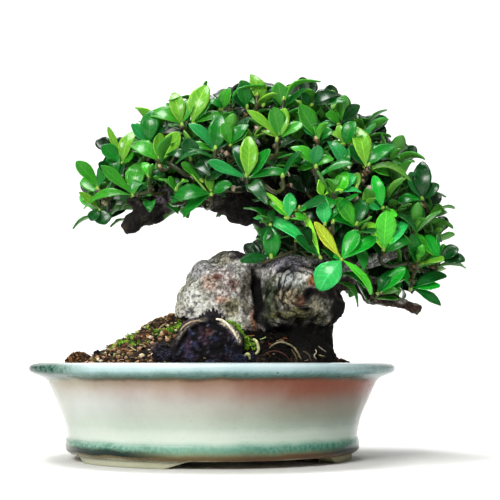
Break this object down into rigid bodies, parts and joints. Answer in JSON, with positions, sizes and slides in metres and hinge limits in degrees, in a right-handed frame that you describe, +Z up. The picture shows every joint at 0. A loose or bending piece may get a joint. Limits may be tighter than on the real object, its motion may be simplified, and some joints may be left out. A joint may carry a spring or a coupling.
{
  "type": "gardenia bonsai",
  "caption": "Informal upright gardenia bonsai: a swollen, knotted trunk with a low leafy dome, on heaped soil in a round glazed pot with a rolled lip and low feet.",
  "frame": {"origin": "centre of the whole object's bounding box at ground level, in the plane of the feet; the pot's own axis stands 16 mm to its left", "axes": "+Z up, +X to the right of someone who faces the front of the tree, along its longest extent, and -Y towards them"},
  "size_m": [0.1863, 0.155, 0.1644],
  "materials": {
    "glaze": "glossy cream glaze, blue-green where it pools",
    "soil": "dark crumbly soil with moss",
    "bark": "grey-brown living bark",
    "black_mesh": "black plastic mesh",
    "leaf": "glossy leathery leaf"
  },
  "bodies": {
    "root": {"drain_screen_left": "black_mesh", "drain_screen_right": "black_mesh", "pot": "glaze", "soil": "soil", "spray_01": "leaf", "spray_02": "leaf", "spray_03": "leaf", "spray_04": "leaf", "spray_05": "leaf", "spray_06": "leaf", "spray_07": "leaf", "spray_08": "leaf", "spray_09": "leaf", "spray_10": "leaf", "spray_11": "leaf", "spray_12": "leaf", "spray_13": "leaf", "spray_14": "leaf", "spray_15": "leaf", "spray_16": "leaf", "spray_17": "leaf", "spray_18": "leaf", "spray_19": "leaf", "spray_20": "leaf", "spray_21": "leaf", "spray_22": "leaf", "spray_23": "leaf", "spray_24": "leaf", "spray_25": "leaf", "spray_26": "leaf", "spray_27": "leaf", "spray_28": "leaf", "spray_29": "leaf", "spray_30": "leaf", "spray_31": "leaf", "spray_32": "leaf", "spray_33": "leaf", "spray_34": "leaf", "spray_35": "leaf", "spray_36": "leaf", "trunk": "bark"}
  },
  "joints": []
}
